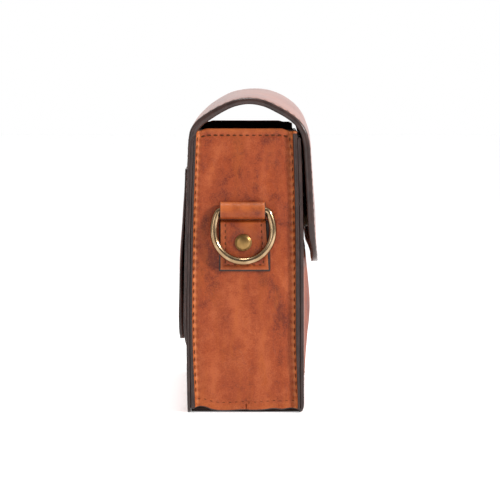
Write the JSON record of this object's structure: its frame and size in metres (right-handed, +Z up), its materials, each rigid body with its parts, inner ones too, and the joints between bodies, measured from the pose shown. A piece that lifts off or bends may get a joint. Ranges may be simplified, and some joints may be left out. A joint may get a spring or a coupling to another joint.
{
  "type": "drum stick bag",
  "caption": "Flap-over leather satchel for drum sticks, with gusseted ends, a slip pocket on each face, magnetic snaps and a riveted D ring on each end.",
  "frame": {"origin": "centre of the base of the bounding box, on the surface that the bag stands on", "axes": "+X along the length of the bag, +Y to the back panel and away from the flap's front, +Z up"},
  "size_m": [0.4612, 0.1054, 0.2326],
  "materials": {
    "leather": "waxed brown hide, semi-matt",
    "flap_lining_leather": "smooth, matt",
    "lining_cloth": "plain weave, matt",
    "base_board": "matt",
    "antique_brass": "antique, polished on the high spots",
    "magnet": "matt"
  },
  "bodies": {
    "bag": {"front_panel": "leather", "front_lining": "lining_cloth", "back_panel": "leather", "back_lining": "lining_cloth", "flap_back_layer": "leather", "flap_root_lining": "flap_lining_leather", "gusset_left": "leather", "gusset_right": "leather", "gusset_bottom": "leather", "gusset_lining_left": "lining_cloth", "gusset_lining_right": "lining_cloth", "base_board": "base_board", "bottom_lining": "lining_cloth", "divider": "lining_cloth", "rear_pocket": "leather", "front_pocket": "leather", "snap_socket_left": "antique_brass", "snap_socket_right": "antique_brass", "snap_magnet_left": "magnet", "snap_magnet_right": "magnet", "ring_tab_left": "leather", "ring_tab_right": "leather", "rivet_cap_left": "antique_brass", "rivet_cap_right": "antique_brass", "rivet_post_left": "antique_brass", "rivet_post_right": "antique_brass"},
    "flap_rear": {"flap_rear_outer": "leather", "flap_rear_lining": "flap_lining_leather"},
    "flap_crown": {"flap_crown_outer": "leather", "flap_crown_lining": "flap_lining_leather"},
    "flap_front": {"flap_front_outer": "leather", "flap_front_lining": "flap_lining_leather", "snap_stud_left": "antique_brass", "snap_stud_right": "antique_brass"},
    "ring_left": {"d_ring_left": "antique_brass"},
    "ring_right": {"d_ring_right": "antique_brass"}
  },
  "joints": [
    {"name": "flap_hinge", "type": "hinge", "parent": "bag", "child": "flap_rear", "pos_m": [0, 0.04588, 0.21406], "axis": [-1, 0, 0], "range_deg": [0, 190]},
    {"name": "flap_crown_bend", "type": "hinge", "parent": "flap_rear", "child": "flap_crown", "pos_m": [0, 0.0082, 0.2349], "axis": [-1, 0, 0], "range_deg": [0, 85]},
    {"name": "flap_front_bend", "type": "hinge", "parent": "flap_crown", "child": "flap_front", "pos_m": [0, -0.04179, 0.21857], "axis": [-1, 0, 0], "range_deg": [0, 88]},
    {"name": "ring_left_swing", "type": "hinge", "parent": "bag", "child": "ring_left", "pos_m": [-0.2258, 0.00328, 0.1474], "axis": [0, 1, 0], "range_deg": [0, 165]},
    {"name": "ring_right_swing", "type": "hinge", "parent": "bag", "child": "ring_right", "pos_m": [0.2258, 0.00328, 0.1474], "axis": [0, -1, 0], "range_deg": [0, 165]}
  ],
  "couplings": [
    {"joint": "flap_crown_bend", "follows": "flap_hinge", "ratio": 0.447},
    {"joint": "flap_front_bend", "follows": "flap_hinge", "ratio": 0.463}
  ]
}
